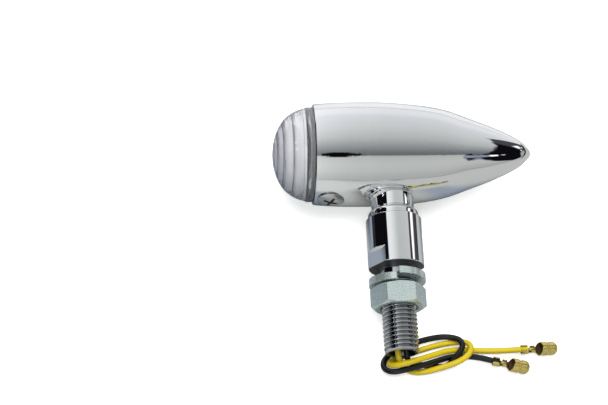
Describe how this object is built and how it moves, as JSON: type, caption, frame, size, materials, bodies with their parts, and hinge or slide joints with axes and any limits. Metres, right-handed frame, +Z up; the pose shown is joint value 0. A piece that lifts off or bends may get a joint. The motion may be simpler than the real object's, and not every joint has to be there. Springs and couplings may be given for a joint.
{
  "type": "motorcycle turn signal indicator",
  "caption": "Chrome bullet turn signal lamp with a clear lens and a swivelling head on a hollow threaded stud with a nut, lock washer and crimped leads.",
  "frame": {"origin": "On the surface the lamp lies on, at the middle of the lamp's outline without its loose wires", "axes": "+X along the bullet towards its nose, +Y away from the stud's end, +Z up from the surface"},
  "size_m": [0.0809, 0.0812, 0.0313],
  "materials": {
    "chrome": "mirror chrome plating",
    "zinc_plate": "bright zinc plating, slightly hazy",
    "clear_lens": "clear moulded plastic with ridges",
    "rubber_seal": "dark grey soft rubber",
    "screw_steel": "bright steel",
    "reflector_chrome": "bright metallised plastic",
    "socket_steel": "plated sheet steel",
    "socket_fibre": "brown fibre disc",
    "contact_brass": "plain brass",
    "bulb_base": "black glass insulator with a solder tip",
    "bulb_glass": "clear glass",
    "filament": "drawn wire",
    "yellow_insulation": "yellow PVC",
    "black_insulation": "black PVC",
    "terminal_brass": "aged yellow brass"
  },
  "bodies": {
    "stem": {"stem": "chrome", "threaded_stud": "chrome", "keeper_washer": "zinc_plate", "keeper_nut": "zinc_plate", "yellow_stem_lead": "yellow_insulation", "black_stem_lead": "black_insulation", "yellow_wire": "yellow_insulation", "black_wire": "black_insulation", "yellow_terminal": "terminal_brass", "black_terminal": "terminal_brass"},
    "head": {"housing": "chrome", "lens_screw": "screw_steel", "reflector": "reflector_chrome", "socket_shell": "socket_steel", "socket_insulator": "socket_fibre", "ground_tab": "socket_steel", "yellow_head_lead": "yellow_insulation", "black_head_lead": "black_insulation"},
    "lens": {"lens": "clear_lens", "lens_gasket": "rubber_seal"},
    "bulb": {"bulb_cap": "contact_brass", "bulb_foot": "bulb_base", "bulb_glass": "bulb_glass", "bulb_filament": "filament"},
    "contact": {"contact_plunger": "contact_brass", "contact_spring": "socket_steel"},
    "washer": {"lock_washer": "zinc_plate"},
    "nut": {"hex_nut": "zinc_plate"}
  },
  "joints": [
    {"name": "head_swivel", "type": "hinge", "parent": "stem", "child": "head", "pos_m": [-0.0039, 0.02296, 0.01566], "axis": [0, -0.9899, -0.1414], "range_deg": [-90, 90]},
    {"name": "washer_slide", "type": "slide", "parent": "stem", "child": "washer", "axis": [0, -0.9899, -0.1414], "range_m": [-0.0019, 0.0044]},
    {"name": "nut_turn", "type": "hinge", "parent": "washer", "child": "nut", "pos_m": [-0.0039, -0.02179, 0.00927], "axis": [0, -0.9899, -0.1414], "range_deg": [-540, 1260]},
    {"name": "lens_pull", "type": "slide", "parent": "head", "child": "lens", "axis": [-1, 0, 0], "range_m": [0, 0.008]},
    {"name": "bulb_push", "type": "slide", "parent": "head", "child": "bulb", "axis": [1, 0, 0], "range_m": [0, 0.0008], "stiffness_N_per_m": 1500, "springref_m": -0.0005},
    {"name": "contact_slide", "type": "slide", "parent": "head", "child": "contact", "axis": [1, 0, 0], "range_m": [0, 0.0008], "deforming": ["contact_spring"]}
  ],
  "couplings": [
    {"joint": "washer_slide", "follows": "nut_turn", "m_per_rad": 0.00019894},
    {"joint": "contact_slide", "follows": "bulb_push", "ratio": 1}
  ]
}
